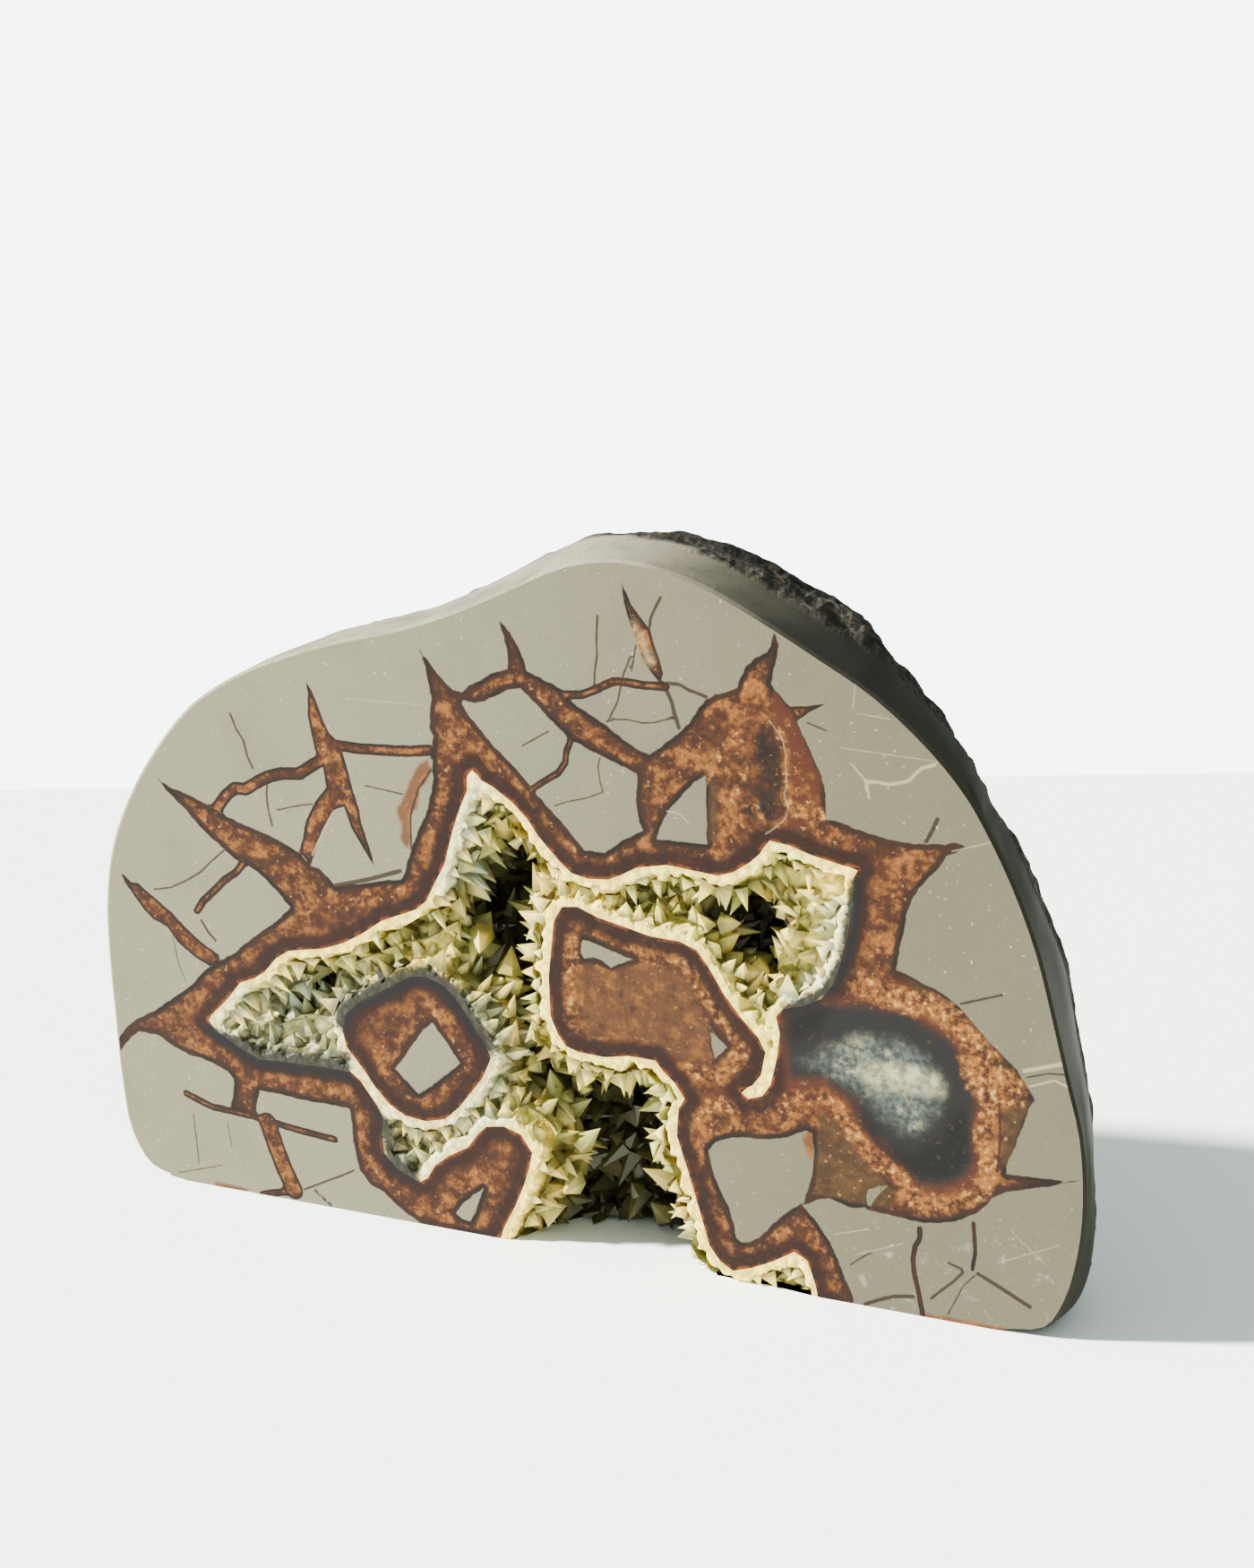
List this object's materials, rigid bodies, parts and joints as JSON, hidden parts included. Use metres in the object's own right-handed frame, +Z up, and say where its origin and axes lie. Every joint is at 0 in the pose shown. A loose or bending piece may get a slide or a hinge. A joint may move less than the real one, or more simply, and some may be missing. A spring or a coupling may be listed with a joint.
{
  "type": "septarian nodule",
  "caption": "Halved stone nodule with a flat cut face and base, brown and golden veins, and a branching hollow lined with pale pointed crystals.",
  "frame": {"origin": "on the flat base, under the middle of the bounding box", "axes": "+X along the cut face to the viewer's right, -Y out of the cut face, +Z up"},
  "size_m": [0.18, 0.048, 0.1236],
  "materials": {
    "nodule": "cut face and edge ground and polished to a low sheen, rind behind rough",
    "crystal_crust": "translucent glossy crystal points"
  },
  "bodies": {
    "root": {"nodule": "nodule", "crystal_crust": "crystal_crust"}
  },
  "joints": []
}
